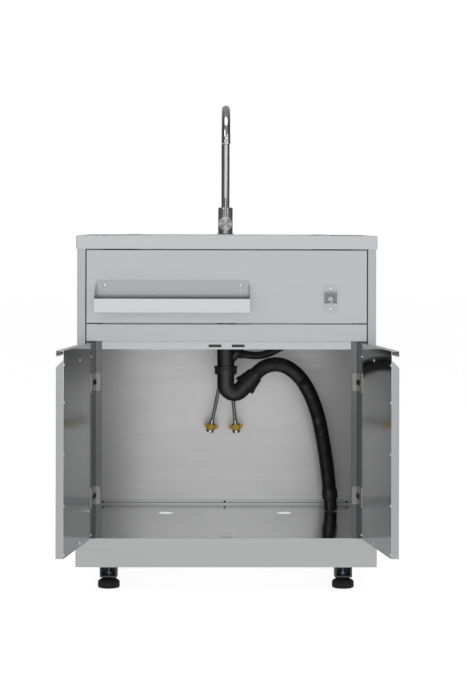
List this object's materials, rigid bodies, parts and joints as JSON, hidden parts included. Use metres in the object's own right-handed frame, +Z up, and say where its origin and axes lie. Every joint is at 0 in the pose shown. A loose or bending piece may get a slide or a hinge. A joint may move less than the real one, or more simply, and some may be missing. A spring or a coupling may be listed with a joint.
{
  "type": "hand-wash sink cabinet",
  "caption": "Free-standing stainless sink cabinet with inset bowl, gooseneck tap, trap and drain hose, double doors, hanging tray, bottle opener and levelling feet.",
  "frame": {"origin": "on the floor, at the middle of the whole box with the doors standing open as stored", "axes": "+Z up, +Y towards the back panel, +X to the right of someone facing the doors"},
  "size_m": [0.8516, 0.9842, 1.3199],
  "materials": {
    "stainless": "brushed",
    "liner": "bright, nearly mirror",
    "tap": "satin",
    "zinc": "zinc plated",
    "hinge_plate": "nickel plated",
    "black_plastic": "moulded satin",
    "black_hose": "fine ribbed, satin",
    "rubber": "matt",
    "braid": "woven steel braid",
    "gold_plastic": "moulded"
  },
  "bodies": {
    "root": {"countertop": "stainless", "sink_bowl": "stainless", "sink_clips": "zinc", "side_panel_left": "stainless", "side_panel_right": "stainless", "back_panel": "stainless", "base_pan": "stainless", "fascia_panel": "stainless", "lower_rail": "stainless", "header_rail": "stainless", "door_magnets": "black_plastic", "door_bumper": "rubber", "panel_screws": "zinc", "bottle_opener": "stainless", "strainer_body": "stainless", "drain_gasket": "rubber", "drain_locknut": "black_plastic", "tailpiece": "black_plastic", "trap_inlet_nut": "black_plastic", "trap_bend": "black_plastic", "trap_outlet_nut": "black_plastic", "drain_hose": "black_hose", "overflow_hose": "black_hose", "overflow_elbow": "black_plastic", "overflow_plate": "stainless", "faucet_base_ring": "tap", "faucet_body": "tap", "faucet_cartridge": "black_plastic", "faucet_gasket": "rubber", "faucet_nut": "zinc", "supply_tails": "zinc", "supply_hose_left": "braid", "supply_hose_right": "braid", "foot_plates": "zinc", "foot_housings": "black_plastic", "foot_nuts": "zinc", "hinge_arms": "hinge_plate"},
    "door_left": {"door_skin_left": "stainless", "door_liner_left": "liner", "liner_screws_left": "zinc", "hinge_cups_left": "hinge_plate", "hinge_pins_left": "zinc"},
    "door_right": {"door_skin_right": "stainless", "door_liner_right": "liner", "liner_screws_right": "zinc", "hinge_cups_right": "hinge_plate", "hinge_pins_right": "zinc"},
    "tray": {"condiment_tray": "stainless"},
    "basket": {"strainer_basket": "stainless"},
    "hub": {"lever_hub": "tap"},
    "lever": {"lever_pin": "tap"},
    "swivel_spout": {"spout": "tap", "aerator": "black_plastic"},
    "union_left": {"wing_nut_left": "gold_plastic"},
    "union_right": {"wing_nut_right": "gold_plastic"},
    "foot_front_left": {"foot_front_left": "black_plastic"},
    "foot_front_right": {"foot_front_right": "black_plastic"},
    "foot_rear_left": {"foot_rear_left": "black_plastic"},
    "foot_rear_right": {"foot_rear_right": "black_plastic"}
  },
  "joints": [
    {"name": "door_left_hinge", "type": "hinge", "parent": "root", "child": "door_left", "pos_m": [-0.363, -0.13242, 0.4], "axis": [0, 0, 1], "range_deg": [-5, 98.8]},
    {"name": "door_right_hinge", "type": "hinge", "parent": "root", "child": "door_right", "pos_m": [0.363, -0.13242, 0.4], "axis": [0, 0, -1], "range_deg": [-5, 98.8]},
    {"name": "tray_lift", "type": "slide", "parent": "root", "child": "tray", "axis": [0, 0, 1], "range_m": [0, 0.014]},
    {"name": "basket_lift", "type": "slide", "parent": "root", "child": "basket", "axis": [0, 0, 1], "range_m": [0, 0.06]},
    {"name": "lever_turn", "type": "hinge", "parent": "root", "child": "hub", "pos_m": [0, 0.35408, 0.978], "axis": [0, 1, 0], "range_deg": [-45, 45]},
    {"name": "lever_tilt", "type": "hinge", "parent": "hub", "child": "lever", "pos_m": [0, 0.36808, 0.978], "axis": [1, 0, 0], "range_deg": [0, 18]},
    {"name": "spout_swivel", "type": "hinge", "parent": "root", "child": "swivel_spout", "pos_m": [0, 0.41208, 1.026], "axis": [0, 0, 1], "range_deg": [-170, 170]},
    {"name": "union_left_spin", "type": "hinge", "parent": "root", "child": "union_left", "pos_m": [-0.037, 0.41508, 0.402], "axis": [-0.2029, 0.1015, -0.9739], "continuous": true},
    {"name": "union_right_spin", "type": "hinge", "parent": "root", "child": "union_right", "pos_m": [0.03, 0.41208, 0.401], "axis": [0.1012, 0.0809, -0.9916], "continuous": true},
    {"name": "foot_front_left_level", "type": "slide", "parent": "root", "child": "foot_front_left", "axis": [0, 0, -1], "range_m": [-0.001, 0.02]},
    {"name": "foot_front_right_level", "type": "slide", "parent": "root", "child": "foot_front_right", "axis": [0, 0, -1], "range_m": [-0.001, 0.02]},
    {"name": "foot_rear_left_level", "type": "slide", "parent": "root", "child": "foot_rear_left", "axis": [0, 0, -1], "range_m": [-0.001, 0.02]},
    {"name": "foot_rear_right_level", "type": "slide", "parent": "root", "child": "foot_rear_right", "axis": [0, 0, -1], "range_m": [-0.001, 0.02]}
  ]
}
